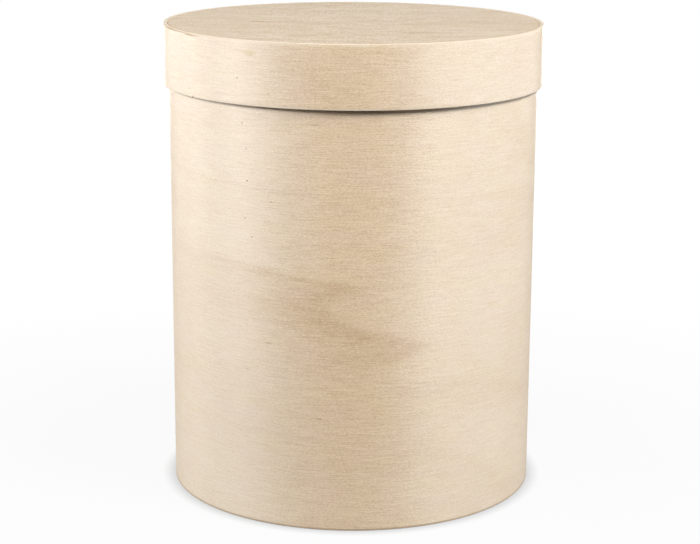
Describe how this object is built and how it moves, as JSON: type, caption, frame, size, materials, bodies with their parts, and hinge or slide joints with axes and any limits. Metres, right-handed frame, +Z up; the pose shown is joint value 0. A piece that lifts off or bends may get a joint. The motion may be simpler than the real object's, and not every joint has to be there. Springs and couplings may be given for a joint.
{
  "type": "round wooden box",
  "caption": "Tall round bentwood box: a lap-glued veneer wall on an inset base disc, with a lift-off cap lid whose band slips over the wall. Plain, unfinished pale wood.",
  "frame": {"origin": "centre of the foot, on the surface that the box stands on", "axes": "+Z up along the axis of the box; -Y is the front that the picture shows; both lap joints are at the back, near +Y"},
  "size_m": [0.15, 0.15, 0.186],
  "materials": {
    "wall_veneer": "raw pale hardwood veneer, sanded smooth, grain running round the wall",
    "band_veneer": "raw pale hardwood veneer, sanded smooth, grain running round the band",
    "disc_wood": "raw pale hardwood, sanded flat, straight grain across the disc"
  },
  "bodies": {
    "body": {"body_wall": "wall_veneer", "base_disc": "disc_wood"},
    "lid": {"lid_band": "band_veneer", "lid_disc": "disc_wood"}
  },
  "joints": [
    {"name": "lid_lift", "type": "slide", "parent": "body", "child": "lid", "axis": [0, 0, 1], "range_m": [0, 0.08]}
  ]
}
